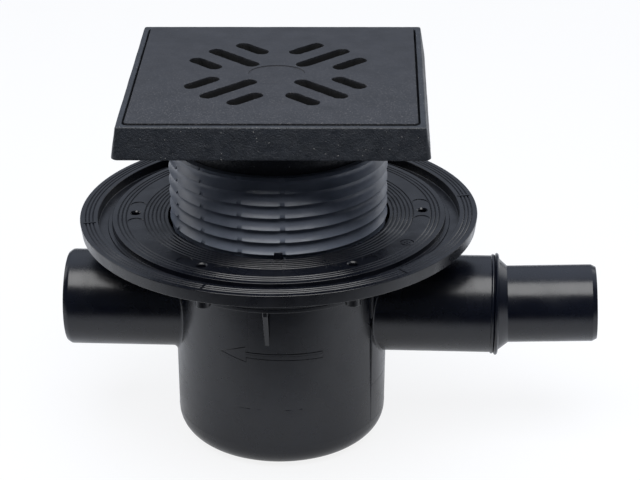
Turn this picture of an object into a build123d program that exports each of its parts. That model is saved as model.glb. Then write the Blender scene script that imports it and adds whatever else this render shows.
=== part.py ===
"""Floor drain: welded plastic sump with flange, ribbed extension tube, cast iron frame and grate."""

import os
from math import atan2, cos, degrees, radians, sin

from build123d import *

os.makedirs("parts", exist_ok=True)

# Millimetres. Z is up from the sump's flat bottom, X runs along the pipes, the outlet points to -X.
run_gap = 0.3

# Sump cup
cup_r = 54.8
cup_wall = 3.2
cup_floor = 3.5
cup_corner_r = 14.5
shoulder_z = 94.5
shoulder_thickness = 2.4
panel_proud = 1.5
panel_half_angle = 27.5
gusset_turn = -2.6
gusset_reach = 6.0
gusset_height = 22.0
gusset_thickness = 2.6

# Pipes
pipe_axis_z = 71.6
pipe_wall = 3.0
outlet_r = 25.0
outlet_root_r = 25.3
outlet_root_reach = 63.0
outlet_reach = 111.4
inlet_r = 25.3
inlet_reach = 111.8
pipe_root_r = 2.5
pipe_end_chamfer = 1.2
bead_height = 1.1
bead_width = 2.0
bead_crest = 0.7
reducer_cone = 5.2
reducer_r = 20.0
reducer_tail = 46.0
reducer_tilt = 2.1

# Flange ring
socket_depth = 26.6
flange_turn = 3.7
plate_r = 85.8
channel_width = 7.2
rim_width = 9.3
rim_draft = 0.9
rim_thickness = 6.7
rim_edge = 0.8
plate_drop = 1.4
plate_thickness = 4.0
channel_depth = 5.0
channel_wall = 3.2
channel_step_width = 2.2
channel_step = 0.6
groove_width = 0.8
rim_groove_inset = 2.6
rim_groove_pitch = 1.85
rim_grooves = 3
outer_groove_inset = 7.2
inner_groove_inset = 1.9
plate_groove_pitch = 2.05
outer_grooves = 3
inner_grooves = 6
socket_bore_r = 57.1
socket_wall = 2.6
socket_band = 0.6
socket_band_height = 1.2
seat_thickness = 2.6
screw_circle_r = 74.0
screw_count = 6
screw_hole_r = 2.3
screw_wall = 1.5
screw_boss_length = 22.1
screw_floor = 2.5
dimple_r = 4.0
dimple_offset = 10.4
dimple_depth = 0.3
lug_width = 4.4
lug_radial = 2.2
lug_turn = 0.5
lug_rise = 3.0
lug_root = 3.4

# Lip seal
seal_groove_top = 9.0
seal_groove_height = 8.0
seal_groove_r = 59.6
seal_lip_width = 1.2

# Extension tube
tube_lip_r = 55.9
tube_valley_r = 54.1
tube_r = 54.9
tube_bore_r = 51.5
ring_count = 7
ring_pitch = 6.53
ring_undercut = 0.45
ring_valley = 1.15
ring_land = 0.2
lowest_lip = 1.3
tube_top_rim = 1.3
collar_stop_depth = 22.0
collar_stop_r = 48.5
collar_stop_height = 3.0
notch_width = 2.4
notch_floor_r = 54.7
notch_columns = 4
notch_first = -151.0
notch_step = 22.5

# Trap sleeve
sleeve_r = 41.0
sleeve_wall = 2.2
sleeve_rim_r = 45.2
sleeve_rim_thickness = 2.4
sleeve_seal_thickness = 1.2
sleeve_foot_gap = 10.0
sleeve_gap = 0.4

# Frame
frame_turn = 2.1
frame_base_side = 152.0
frame_top_side = 147.0
frame_height = 16.1
frame_corner_r = 3.2
frame_edge_r = 0.9
frame_rise = 17.65
frame_wall = 4.4
frame_ledge = 6.5
frame_recess = 4.4
frame_recess_r = 58.0
funnel_depth = 5.0
funnel_corner_r = 10.0
collar_r = 51.1
collar_wall = 4.0

# Grate
grate_side = 139.6
grate_gap = 1.0
grate_proud = 0.6
grate_thickness = 7.0
grate_corner_r = 2.6
grate_edge_r = 0.5
grate_recess = 2.0
grate_band = 7.5
slot_width = 7.5
long_slot_from = 18.5
long_slot_to = 45.9
short_slot_along = 35.8
short_slot_aside = 16.0
short_slot_span = 13.8
oval_length = 28.0
oval_width = 22.5
oval_depth = 0.5
rib_thickness = 5.0
rib_depth = 4.0
rib_length = 98.0

# Heights and radii that follow from the sizes above
cup_height = shoulder_z + shoulder_thickness
flange_top_z = cup_height + socket_depth
plate_z = flange_top_z - plate_drop
plate_under_z = plate_z - plate_thickness
seat_z = cup_height + seat_thickness
cup_inner_r = cup_r - cup_wall
rim_inner_r = plate_r + channel_width
rim_r = rim_inner_r + rim_width
rim_foot_r = rim_r - rim_draft
socket_r = seal_groove_r + socket_wall
band_r = socket_r + socket_band
seat_hole_r = sleeve_r + sleeve_gap
seal_top_z = flange_top_z - seal_groove_top
lowest_lip_z = plate_z + lowest_lip
tube_top_z = lowest_lip_z + (ring_count - 1) * ring_pitch + tube_top_rim
collar_stop_z = tube_top_z - collar_stop_depth
frame_base_z = tube_top_z + frame_rise
frame_top_z = frame_base_z + frame_height
grate_top_z = frame_top_z + grate_proud
ledge_z = grate_top_z - grate_thickness
frame_draft = degrees(atan2((frame_base_side - frame_top_side) / 2, frame_height))
outlet_bore_r = outlet_r - pipe_wall
inlet_bore_r = inlet_r - pipe_wall
reducer_bore_r = reducer_r - pipe_wall
pipe_axis = Axis((0, 0, pipe_axis_z), (1, 0, 0))
bead_slope = degrees(atan2(bead_height, (bead_width - bead_crest) / 2))
tilt = radians(reducer_tilt)
frame_plane = Plane(origin=(0, 0, 0), x_dir=(cos(radians(frame_turn)), sin(radians(frame_turn)), 0))


def upright_plane(angle):
    """Plane through the Z axis whose own x points out at this angle and whose own y is up."""
    a = radians(angle)
    return Plane(origin=(0, 0, 0), x_dir=(cos(a), sin(a), 0), z_dir=(sin(a), -cos(a), 0))


def finish(name, builder):
    builder.part.label = name
    export_step(builder.part, f"parts/{name}.step")
    print(name, round(builder.part.volume / 1000, 1), "cm3")


# Sump: cup, inlet panel and pipes outside, then the hollow and the bores
with BuildPart() as sump_body:
    blank_height = pipe_axis_z + outlet_r + 2 * pipe_root_r
    with BuildSketch(Plane.XZ) as cup_outside:
        with BuildLine():
            Line((0, 0), (cup_r - cup_corner_r, 0))
            CenterArc((cup_r - cup_corner_r, cup_corner_r), cup_corner_r, -90, 90)
            Line((cup_r, cup_corner_r), (cup_r, blank_height))
            Line((cup_r, blank_height), (0, blank_height))
            Line((0, blank_height), (0, 0))
        make_face()
    revolve(axis=Axis.Z)
    with BuildSketch(Plane.XZ) as outlet_section:
        with BuildLine():
            Polyline(
                (0, pipe_axis_z),
                (0, pipe_axis_z + outlet_root_r),
                (-outlet_root_reach, pipe_axis_z + outlet_root_r),
                (-outlet_root_reach - run_gap, pipe_axis_z + outlet_r),
                (2 * pipe_end_chamfer - outlet_reach, pipe_axis_z + outlet_r),
                (-outlet_reach, pipe_axis_z + outlet_r - pipe_end_chamfer),
                (-outlet_reach, pipe_axis_z),
                close=True,
            )
        make_face()
    revolve(axis=pipe_axis)
    outlet_root = edges(Select.LAST).filter_by_position(Axis.X, -cup_r, -cup_wall).sort_by(Edge.length)[-1]
    fillet(outlet_root, pipe_root_r)
    with BuildSketch(Plane.XY.offset(cup_height)):
        Circle(band_r)
    extrude(amount=blank_height, mode=Mode.SUBTRACT)
    with BuildSketch(Plane.XY.offset(shoulder_z)):
        Circle(band_r)
    extrude(amount=shoulder_thickness)
    with BuildSketch(upright_plane(-panel_half_angle)) as inlet_panel:
        with BuildLine():
            Polyline(
                (cup_r - cup_wall / 2, cup_corner_r),
                (cup_r, cup_corner_r),
                (cup_r + panel_proud, shoulder_z),
                (cup_r - cup_wall / 2, shoulder_z),
                close=True,
            )
        make_face()
    revolve(axis=Axis.Z, revolution_arc=2 * panel_half_angle)
    with BuildSketch(Plane.YZ):
        with Locations((0, pipe_axis_z)):
            Circle(inlet_r)
    extrude(amount=inlet_reach)
    with BuildSketch(Plane.XZ):
        with Locations((inlet_reach - bead_width / 2, pipe_axis_z + inlet_r)):
            Trapezoid(bead_width, bead_height, bead_slope, align=(Align.CENTER, Align.MIN))
    revolve(axis=pipe_axis)
    for gusset_angle in (gusset_turn - 90, gusset_turn + 90):
        with BuildSketch(upright_plane(gusset_angle)):
            with BuildLine():
                Polyline(
                    (cup_r - cup_wall / 2, shoulder_z),
                    (cup_r + gusset_reach, shoulder_z),
                    (cup_r + gusset_reach, shoulder_z - gusset_reach / 2),
                    (cup_r, shoulder_z - gusset_height),
                    (cup_r - cup_wall / 2, shoulder_z - gusset_height),
                    close=True,
                )
            make_face()
        extrude(amount=gusset_thickness / 2, both=True)
    with BuildSketch(Plane.XZ) as cup_inside:
        inner_corner_r = cup_corner_r - cup_wall
        with BuildLine():
            Line((0, cup_floor), (cup_inner_r - inner_corner_r, cup_floor))
            CenterArc((cup_inner_r - inner_corner_r, cup_floor + inner_corner_r), inner_corner_r, -90, 90)
            Line((cup_inner_r, cup_floor + inner_corner_r), (cup_inner_r, cup_height))
            Line((cup_inner_r, cup_height), (0, cup_height))
            Line((0, cup_height), (0, cup_floor))
        make_face()
    revolve(axis=Axis.Z, mode=Mode.SUBTRACT)
    with BuildSketch(Plane.YZ):
        with Locations((0, pipe_axis_z)):
            Circle(inlet_r)
    extrude(amount=cup_r - cup_wall / 2)
    with BuildSketch(Plane.XY.offset(cup_floor)):
        Circle(seat_hole_r)
    extrude(amount=cup_height - cup_floor, mode=Mode.SUBTRACT)
    with BuildSketch(Plane.YZ.offset(-outlet_reach)):
        with Locations((0, pipe_axis_z)):
            Circle(outlet_bore_r)
    extrude(amount=outlet_reach, mode=Mode.SUBTRACT)
    with BuildSketch(Plane.YZ):
        with Locations((0, pipe_axis_z)):
            Circle(inlet_bore_r)
    extrude(amount=inlet_reach, mode=Mode.SUBTRACT)
finish("sump_body", sump_body)

# Reducer welded to the inlet stub, its tail a little crooked
with BuildPart() as inlet_reducer:
    neck_plane = Plane(origin=(inlet_reach + bead_width, 0, pipe_axis_z), x_dir=(0, 1, 0), z_dir=(1, 0, 0))
    tail_axis = Axis((inlet_reach + bead_width, 0, pipe_axis_z), (cos(tilt), 0, sin(tilt)))
    tail_start = tail_axis.position + tail_axis.direction * reducer_cone
    tail_plane = Plane(origin=tail_start, x_dir=(0, 1, 0), z_dir=tail_axis.direction)
    with BuildSketch(Plane.XZ):
        with Locations((inlet_reach + bead_width / 2, pipe_axis_z + inlet_bore_r + pipe_wall / 2)):
            Rectangle(bead_width, pipe_wall)
        with Locations((inlet_reach + bead_width / 2, pipe_axis_z + inlet_r)):
            Trapezoid(bead_width, bead_height, bead_slope, align=(Align.CENTER, Align.MIN))
    revolve(axis=pipe_axis)
    with BuildSketch(neck_plane):
        Circle(inlet_r)
    with BuildSketch(tail_plane):
        Circle(reducer_r)
    loft()
    with BuildSketch(neck_plane):
        Circle(inlet_bore_r)
    with BuildSketch(tail_plane):
        Circle(reducer_bore_r)
    loft(mode=Mode.SUBTRACT)
    with BuildSketch(Plane(origin=tail_start, x_dir=tail_axis.direction, z_dir=(0, -1, 0))):
        with BuildLine():
            Polyline(
                (0, reducer_bore_r),
                (0, reducer_r),
                (reducer_tail - 2 * pipe_end_chamfer, reducer_r),
                (reducer_tail, reducer_r - pipe_end_chamfer),
                (reducer_tail, reducer_bore_r),
                close=True,
            )
        make_face()
    revolve(axis=tail_axis)
finish("inlet_reducer", inlet_reducer)

# Flange ring: rim, channel, grooved plate, socket and seat
with BuildPart() as flange_ring:
    channel_z = flange_top_z - channel_depth
    channel_under_z = channel_z - channel_wall
    rim_under_z = flange_top_z - rim_thickness
    with BuildSketch(Plane.XZ) as flange_section:
        with BuildLine():
            Polyline(
                (socket_bore_r, plate_z),
                (plate_r, plate_z),
                (plate_r, channel_z + channel_step),
                (plate_r + channel_step_width, channel_z + channel_step),
                (plate_r + channel_step_width, channel_z),
                (rim_inner_r, channel_z),
                (rim_inner_r, flange_top_z),
                (rim_r, flange_top_z),
                (rim_foot_r, rim_under_z),
                (rim_inner_r + channel_wall, rim_under_z),
                (rim_inner_r + channel_wall, channel_under_z),
                (plate_r - channel_wall, channel_under_z),
                (plate_r - channel_wall, plate_under_z),
                (socket_r, plate_under_z),
                (socket_r, cup_height + socket_band_height),
                (band_r, cup_height + socket_band_height),
                (band_r, cup_height),
                (seat_hole_r, cup_height),
                (seat_hole_r, seat_z),
                (socket_bore_r, seat_z),
                close=True,
            )
        make_face()
        chamfer(vertices().group_by(Axis.X)[-1], rim_edge)
        with Locations((seal_groove_r / 2 + socket_bore_r / 2, seal_top_z - seal_groove_height / 2)):
            Rectangle(seal_groove_r - socket_bore_r, seal_groove_height, mode=Mode.SUBTRACT)
        groove_side = groove_width / 2**0.5
        rim_groove_rs = [rim_inner_r + rim_groove_inset + i * rim_groove_pitch for i in range(rim_grooves)]
        outer_groove_rs = [plate_r - outer_groove_inset + i * plate_groove_pitch for i in range(outer_grooves)]
        inner_groove_rs = [
            socket_bore_r + inner_groove_inset + i * plate_groove_pitch for i in range(inner_grooves)
        ]
        with Locations(*[(r, flange_top_z) for r in rim_groove_rs]):
            Rectangle(groove_side, groove_side, rotation=45, mode=Mode.SUBTRACT)
        with Locations(*[(r, plate_z) for r in outer_groove_rs + inner_groove_rs]):
            Rectangle(groove_side, groove_side, rotation=45, mode=Mode.SUBTRACT)
    revolve(axis=Axis.Z)
    boss_foot_z = plate_z - screw_boss_length
    with BuildSketch(Plane.XY.offset(boss_foot_z)):
        with PolarLocations(screw_circle_r, screw_count, start_angle=flange_turn):
            Circle(screw_hole_r + screw_wall)
    extrude(amount=screw_boss_length - plate_thickness / 2)
    with Locations((0, 0, plate_z)):
        with PolarLocations(screw_circle_r, screw_count, start_angle=flange_turn):
            Hole(screw_hole_r, screw_boss_length - screw_floor)
    dimple_swing = degrees(dimple_offset / screw_circle_r)
    with BuildSketch(Plane.XY.offset(plate_z - dimple_depth)):
        for side in (-1, 1):
            with PolarLocations(screw_circle_r, screw_count, start_angle=flange_turn + side * dimple_swing):
                Circle(dimple_r)
    extrude(amount=dimple_depth, mode=Mode.SUBTRACT)
    lug_in_r = tube_lip_r + 2 * run_gap
    with BuildSketch(Plane.XY.offset(plate_z - lug_root)):
        with PolarLocations(lug_in_r + lug_radial / 2, 1, start_angle=flange_turn + lug_turn - 90):
            Rectangle(lug_radial, lug_width)
    extrude(amount=lug_root + lug_rise)
finish("flange_ring", flange_ring)

# Lip seal in the socket's groove
with BuildPart() as lip_seal:
    seal_in_r = tube_r + run_gap
    seal_out_r = seal_groove_r - run_gap
    seal_body_r = socket_bore_r + run_gap
    seal_foot_z = seal_top_z - seal_groove_height
    with BuildSketch(Plane.XZ):
        with BuildLine():
            Polyline(
                (seal_body_r, seal_foot_z),
                (seal_out_r, seal_foot_z),
                (seal_out_r, seal_top_z),
                (seal_body_r, seal_top_z),
                (seal_in_r, seal_foot_z + seal_groove_height / 2 + seal_lip_width),
                (seal_in_r, seal_foot_z + seal_groove_height / 2),
                (seal_body_r, seal_top_z - 2 * seal_lip_width),
                close=True,
            )
        make_face()
    revolve(axis=Axis.Z)
finish("lip_seal", lip_seal)

# Extension tube: saw-tooth rings outside, a stop for the frame's collar inside
with BuildPart() as extension_tube:
    lip_zs = [lowest_lip_z + (ring_count - 1 - i) * ring_pitch for i in range(ring_count)]
    stop_foot_z = collar_stop_z - collar_stop_height
    with BuildSketch(Plane.XZ) as tube_section:
        with BuildLine():
            Line((tube_bore_r, tube_top_z), (tube_r, tube_top_z))
            Line((tube_r, tube_top_z), (tube_lip_r, lip_zs[0]))
            for i, lip_z in enumerate(lip_zs):
                land_z = lip_z - ring_land
                Line((tube_lip_r, lip_z), (tube_lip_r, land_z))
                if i < ring_count - 1:
                    under_z = land_z - ring_undercut
                    valley_z = under_z - ring_valley
                    Line((tube_lip_r, land_z), (tube_valley_r, under_z))
                    Line((tube_valley_r, under_z), (tube_valley_r, valley_z))
                    Line((tube_valley_r, valley_z), (tube_lip_r, lip_zs[i + 1]))
            Polyline(
                (tube_lip_r, lip_zs[-1] - ring_land),
                (tube_r, lip_zs[-1] - ring_land - ring_undercut),
                (tube_r, seat_z + pipe_end_chamfer),
                (tube_r - pipe_end_chamfer / 2, seat_z),
                (tube_bore_r, seat_z),
                (tube_bore_r, stop_foot_z - collar_stop_height),
                (collar_stop_r, stop_foot_z),
                (collar_stop_r, collar_stop_z),
                (tube_bore_r, collar_stop_z),
                (tube_bore_r, tube_top_z),
            )
        make_face()
    revolve(axis=Axis.Z)
    notch_depth = tube_lip_r - notch_floor_r + run_gap
    with BuildSketch(Plane.XY.offset(lip_zs[-1] - 2 * ring_undercut)):
        for first in (notch_first, notch_first + 180):
            for i in range(notch_columns):
                with PolarLocations(notch_floor_r + notch_depth / 2, 1, start_angle=first + i * notch_step):
                    Rectangle(notch_depth, notch_width)
    extrude(amount=tube_top_z - lip_zs[-1] + 2 * ring_undercut, mode=Mode.SUBTRACT)
finish("extension_tube", extension_tube)

# Flat seal and the dip sleeve that hangs on it
with BuildPart() as sleeve_seal:
    with BuildSketch(Plane.XY.offset(seat_z)):
        Circle(sleeve_rim_r)
        Circle(seat_hole_r, mode=Mode.SUBTRACT)
    extrude(amount=sleeve_seal_thickness)
finish("sleeve_seal", sleeve_seal)

with BuildPart() as trap_sleeve:
    rim_seat_z = seat_z + sleeve_seal_thickness
    sleeve_foot_z = cup_floor + sleeve_foot_gap
    with BuildSketch(Plane.XY.offset(sleeve_foot_z)):
        Circle(sleeve_r)
    extrude(amount=rim_seat_z - sleeve_foot_z)
    with BuildSketch(Plane.XY.offset(rim_seat_z)):
        Circle(sleeve_rim_r)
    extrude(amount=sleeve_rim_thickness)
    rim_edges = faces().sort_by(Axis.Z)[-1].edges()
    chamfer(rim_edges, sleeve_rim_thickness / 3)
    with BuildSketch(Plane.XY.offset(sleeve_foot_z)):
        Circle(sleeve_r - sleeve_wall)
    extrude(amount=rim_seat_z + sleeve_rim_thickness - sleeve_foot_z, mode=Mode.SUBTRACT)
    with BuildSketch(Plane.YZ):
        with Locations((0, pipe_axis_z)):
            Circle(inlet_bore_r)
    extrude(amount=sleeve_r, mode=Mode.SUBTRACT)
finish("trap_sleeve", trap_sleeve)

# Frame: drafted square, grate ledge, funnel and collar
with BuildPart() as frame:
    pocket_side = grate_side + 2 * grate_gap
    funnel_side = pocket_side - 2 * frame_ledge
    funnel_foot_z = ledge_z - funnel_depth
    collar_bore_r = collar_r - collar_wall
    with BuildSketch(frame_plane.offset(frame_base_z)):
        RectangleRounded(frame_base_side, frame_base_side, frame_corner_r)
    extrude(amount=frame_height, taper=frame_draft)
    fillet(faces().sort_by(Axis.Z)[-1].edges(), frame_edge_r)
    with BuildSketch(frame_plane.offset(collar_stop_z)):
        Circle(collar_r)
    extrude(amount=frame_base_z - collar_stop_z)
    with BuildSketch(frame_plane.offset(ledge_z)):
        RectangleRounded(pocket_side, pocket_side, grate_corner_r + grate_gap)
    extrude(amount=frame_top_z - ledge_z, mode=Mode.SUBTRACT)
    with BuildSketch(frame_plane.offset(ledge_z)) as funnel_mouth:
        RectangleRounded(funnel_side, funnel_side, funnel_corner_r)
    with BuildSketch(frame_plane.offset(funnel_foot_z)) as funnel_foot:
        RectangleRounded(2 * collar_bore_r, 2 * collar_bore_r, collar_bore_r - run_gap)
    loft(mode=Mode.SUBTRACT)
    with BuildSketch(frame_plane.offset(collar_stop_z)):
        Circle(collar_bore_r)
    extrude(amount=ledge_z - collar_stop_z, mode=Mode.SUBTRACT)
    recess_side = frame_base_side - 2 * frame_wall - 2 * frame_recess
    with BuildSketch(frame_plane.offset(frame_base_z)):
        RectangleRounded(recess_side, recess_side, frame_corner_r)
        Circle(frame_recess_r, mode=Mode.SUBTRACT)
    extrude(amount=frame_recess, mode=Mode.SUBTRACT)
finish("frame", frame)

# Grate: slots in four quadrants, shallow bare oval, cross ribs beneath
with BuildPart() as grate:
    recess_z = ledge_z + grate_recess
    with BuildSketch(frame_plane.offset(ledge_z)):
        RectangleRounded(grate_side, grate_side, grate_corner_r)
    extrude(amount=grate_thickness)
    fillet(faces().sort_by(Axis.Z)[-1].edges(), grate_edge_r)
    with BuildSketch(frame_plane.offset(ledge_z)):
        inner_side = grate_side - 2 * grate_band
        RectangleRounded(inner_side, inner_side, funnel_corner_r)
    extrude(amount=grate_recess, mode=Mode.SUBTRACT)
    with BuildSketch(frame_plane.offset(recess_z - rib_depth)):
        Rectangle(rib_length, rib_thickness)
        Rectangle(rib_thickness, rib_length)
    extrude(amount=rib_depth)
    with BuildSketch(frame_plane.offset(ledge_z)):
        long_middle = (long_slot_from + long_slot_to) / 2
        for quadrant in range(4):
            turn = 45 + 90 * quadrant
            a = radians(turn)
            with Locations(Location((long_middle * cos(a), long_middle * sin(a), 0), (0, 0, turn))):
                SlotCenterToCenter(long_slot_to - long_slot_from, slot_width)
            for side in (-1, 1):
                slot_x = short_slot_along * cos(a) - side * short_slot_aside * sin(a)
                slot_y = short_slot_along * sin(a) + side * short_slot_aside * cos(a)
                with Locations(Location((slot_x, slot_y, 0), (0, 0, turn))):
                    SlotCenterToCenter(short_slot_span, slot_width)
    extrude(amount=grate_thickness, mode=Mode.SUBTRACT)
    with BuildSketch(frame_plane.offset(grate_top_z - oval_depth)):
        Ellipse(oval_length / 2, oval_width / 2)
    extrude(amount=oval_depth, mode=Mode.SUBTRACT)
finish("grate", grate)
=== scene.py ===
from math import acos, atan2, cos, hypot, pi, radians, sin, sqrt, tan

import bmesh
import bpy
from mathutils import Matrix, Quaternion, Vector, noise


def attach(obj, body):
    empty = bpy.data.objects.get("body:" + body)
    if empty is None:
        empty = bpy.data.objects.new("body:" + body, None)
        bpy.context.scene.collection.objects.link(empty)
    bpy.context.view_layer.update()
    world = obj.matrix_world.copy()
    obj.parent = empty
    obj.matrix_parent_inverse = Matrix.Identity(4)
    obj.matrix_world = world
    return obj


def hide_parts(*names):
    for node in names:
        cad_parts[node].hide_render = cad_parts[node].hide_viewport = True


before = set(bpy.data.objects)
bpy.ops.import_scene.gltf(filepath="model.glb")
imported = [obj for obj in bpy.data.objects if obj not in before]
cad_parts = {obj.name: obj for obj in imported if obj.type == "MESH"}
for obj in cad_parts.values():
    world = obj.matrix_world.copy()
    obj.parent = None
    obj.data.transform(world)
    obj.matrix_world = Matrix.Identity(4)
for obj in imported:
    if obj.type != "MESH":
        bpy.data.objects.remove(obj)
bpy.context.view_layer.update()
scene = bpy.context.scene
mm = 0.001  # all sizes below are in millimetres, heights from the sump's flat bottom
print("frame loaded:", ", ".join(sorted(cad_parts)))


def newPiece(name, points, faces):
    # one mesh object from points in millimetres, with its normals facing out
    mesh = bpy.data.meshes.new(name)
    mesh.from_pydata([Vector(p) * mm for p in points], [], faces)
    skin = bmesh.new()
    skin.from_mesh(mesh)
    bmesh.ops.remove_doubles(skin, verts=skin.verts, dist=1e-7)
    bmesh.ops.recalc_face_normals(skin, faces=skin.faces)
    skin.to_mesh(mesh)
    skin.free()
    piece = bpy.data.objects.new(name, mesh)
    scene.collection.objects.link(piece)
    return piece


def gridSkin(name, rows):
    # a grid of points that closes on itself both ways
    across = len(rows[0])
    faces = []
    for i in range(len(rows)):
        after = (i + 1) % len(rows)
        for j in range(across):
            k = (j + 1) % across
            faces.append((i * across + j, i * across + k, after * across + k, after * across + j))
    return newPiece(name, [p for row in rows for p in row], faces)


def loft(name, loops):
    # loops of as many points each, one after the other, with both ends capped
    count = len(loops[0])
    faces = [tuple(range(count)), tuple(range((len(loops) - 1) * count, len(loops) * count))]
    for i in range(len(loops) - 1):
        for j in range(count):
            k = (j + 1) % count
            faces.append((i * count + j, i * count + k, (i + 1) * count + k, (i + 1) * count + j))
    return newPiece(name, [p for loop in loops for p in loop], faces)


def rounded(corners):
    # (u, v, radius, ...) corners become an outline with arcs; small arcs get fewer points
    outline = []
    count = len(corners)
    for i, corner in enumerate(corners):
        here = Vector(corner[:2])
        radius = corner[2]
        extra = tuple(corner[3:])
        if radius <= 0:
            outline.append((here.x, here.y) + extra)
            continue
        before = (Vector(corners[i - 1][:2]) - here).normalized()
        after = (Vector(corners[(i + 1) % count][:2]) - here).normalized()
        half = before.angle(after) / 2
        middle = here + (before + after).normalized() * (radius / sin(half))
        back = radius / tan(half)
        start = here + before * back - middle
        end = here + after * back - middle
        fromAngle = atan2(start.y, start.x)
        sweep = (atan2(end.y, end.x) - fromAngle + pi) % (2 * pi) - pi
        steps = 1 if radius < 0.2 else 3 if radius < 2 else 8
        for k in range(steps + 1):
            a = fromAngle + sweep * k / steps
            outline.append((middle.x + radius * cos(a), middle.y + radius * sin(a)) + extra)
    return outline


def roundAngles(steps, extra=()):
    # even turns plus finer ones, in radians; even ones that come too near a finer one are left out
    fine = sorted(radians(a % 360) for a in extra)
    gap = pi / steps / 2
    even = [2 * pi * i / steps for i in range(steps)]
    kept = [a for a in even if all(abs((a - f + pi) % (2 * pi) - pi) > gap for f in fine)]
    return sorted(kept + fine)


def lathe(name, outline, steps, x=0, y=0):
    # closed (radius, height) outline turned about an upright axis
    rows = []
    for a in roundAngles(steps):
        rows.append([(x + r * cos(a), y + r * sin(a), z) for r, z in outline])
    return gridSkin(name, rows)


def latheAlongX(name, outline, height, steps):
    # closed (radius, x) outline turned about the pipes' axis
    rows = []
    for a in roundAngles(steps):
        rows.append([(x, r * cos(a), height + r * sin(a)) for r, x in outline])
    return gridSkin(name, rows)


def joined(pieces):
    # several loose shells in one object, the first one's
    skin = bmesh.new()
    for piece in pieces:
        skin.from_mesh(piece.data)
    skin.to_mesh(pieces[0].data)
    skin.free()
    for piece in pieces[1:]:
        bpy.data.objects.remove(piece)
    return pieces[0]


def bake(piece):
    # modifiers become mesh
    bpy.context.view_layer.update()
    solved = piece.evaluated_get(bpy.context.evaluated_depsgraph_get())
    mesh = bpy.data.meshes.new_from_object(solved)
    piece.modifiers.clear()
    piece.data = mesh


def combine(piece, tool, how="DIFFERENCE"):
    step = piece.modifiers.new(how.lower(), "BOOLEAN")
    step.operation = how
    step.solver = "EXACT"
    step.object = tool
    bake(piece)
    bpy.data.objects.remove(tool)


def turned(x, y, angle):
    a = radians(angle)
    return x * cos(a) - y * sin(a), x * sin(a) + y * cos(a)


def addNode(tree, kind, inputs=None, **attributes):
    node = tree.nodes.new("ShaderNode" + kind)
    for name, value in attributes.items():
        setattr(node, name, value)
    for name, value in (inputs or {}).items():
        if isinstance(value, bpy.types.NodeSocket):
            tree.links.new(value, node.inputs[name])
        else:
            node.inputs[name].default_value = value
    return node


def noiseField(tree, place, scale, detail=3, roughness=0.5):
    # feature size in millimetres
    node = addNode(tree, "TexNoise", {"Vector": place, "Scale": 1 / (scale * mm), "Detail": detail,
                                      "Roughness": roughness})
    return node.outputs["Fac"]


def remap(tree, value, low, high, toLow, toHigh):
    node = addNode(tree, "MapRange", {"Value": value, "From Min": low, "From Max": high,
                                      "To Min": toLow, "To Max": toHigh})
    return node.outputs["Result"]


def arithmetic(tree, operation, a, b, c=None):
    inputs = {0: a, 1: b}
    if c is not None:
        inputs[2] = c
    return addNode(tree, "Math", inputs, operation=operation).outputs[0]


def specks(tree, place, scale, size, share):
    # round dots on a share of the cells; scale and size in millimetres
    cells = addNode(tree, "TexVoronoi", {"Vector": place, "Scale": 1 / (scale * mm)})
    near = remap(tree, cells.outputs["Distance"], size / scale, size / scale * 0.4, 0, 1)
    picked = addNode(tree, "SeparateColor", {"Color": cells.outputs["Color"]}).outputs["Red"]
    chosen = arithmetic(tree, "LESS_THAN", picked, share)
    return arithmetic(tree, "MULTIPLY", near, chosen)


def blended(tree, factor, a, b):
    node = addNode(tree, "Mix", {0: factor, 6: a, 7: b}, data_type="RGBA")
    return node.outputs[2]


def surface(name, look):
    # moulded or cast finish: slow mottling, specks, grain and pits, all from one settings dictionary
    material = bpy.data.materials.new(name)
    material.use_nodes = True
    tree = material.node_tree
    shader = tree.nodes["Principled BSDF"]
    place = addNode(tree, "TexCoord").outputs["Object"]

    mottle = noiseField(tree, place, look["mottleSize"], 4, 0.6)
    shades = blended(tree, remap(tree, mottle, 0.35, 0.65, 0, 1),
                     (*look["dark"], 1), (*look["light"], 1))
    rough = remap(tree, noiseField(tree, place, look["smearSize"], 3), 0.3, 0.7, *look["roughness"])
    height = 0.0
    for size, depth in look["grain"]:
        height = arithmetic(tree, "MULTIPLY_ADD", noiseField(tree, place, size, 2), depth, height)
    for speck in look.get("specks", ()):
        dots = specks(tree, place, speck["spacing"], speck["size"], speck["share"])
        shades = blended(tree, arithmetic(tree, "MULTIPLY", dots, speck["cover"]),
                         shades, (*speck["colour"], 1))
        height = arithmetic(tree, "MULTIPLY_ADD", dots, speck["height"], height)
    if "dustAndSheen" in look:  # pale casting dust grains, laid more thickly toward the front as a painted sheen for the brighter reflection there
        dustAndSheen = look["dustAndSheen"]
        across = addNode(tree, "SeparateXYZ", {0: place}).outputs["Y"]
        grains = remap(tree, noiseField(tree, place, dustAndSheen["size"], 4, 0.7), *dustAndSheen["grains"], 0, 1)
        frontSheen = remap(tree, across, dustAndSheen["from"], dustAndSheen["to"], *dustAndSheen["cover"])
        cover = arithmetic(tree, "MULTIPLY", frontSheen, grains)
        shades = blended(tree, cover, shades, (*dustAndSheen["colour"], 1))
    if "paintedShade" in look:  # painted shade: darker below the top face, inside the slots and on the ribs beneath
        deep = look["paintedShade"]
        level = addNode(tree, "SeparateXYZ", {0: place}).outputs["Z"]
        paintedShade = remap(tree, level, deep["low"] * mm, deep["high"] * mm, 1, 0)
        shades = blended(tree, paintedShade, shades, (*deep["colour"], 1))
        rough = arithmetic(tree, "MULTIPLY_ADD", paintedShade, deep["rough"], rough)
    tree.links.new(shades, shader.inputs["Base Color"])
    tree.links.new(rough, shader.inputs["Roughness"])
    bump = addNode(tree, "Bump", {"Height": height, "Distance": mm, "Strength": 1})
    tree.links.new(bump.outputs["Normal"], shader.inputs["Normal"])
    shader.inputs["IOR"].default_value = 1.5
    shader.inputs["Specular IOR Level"].default_value = 0.5
    return material


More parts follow.
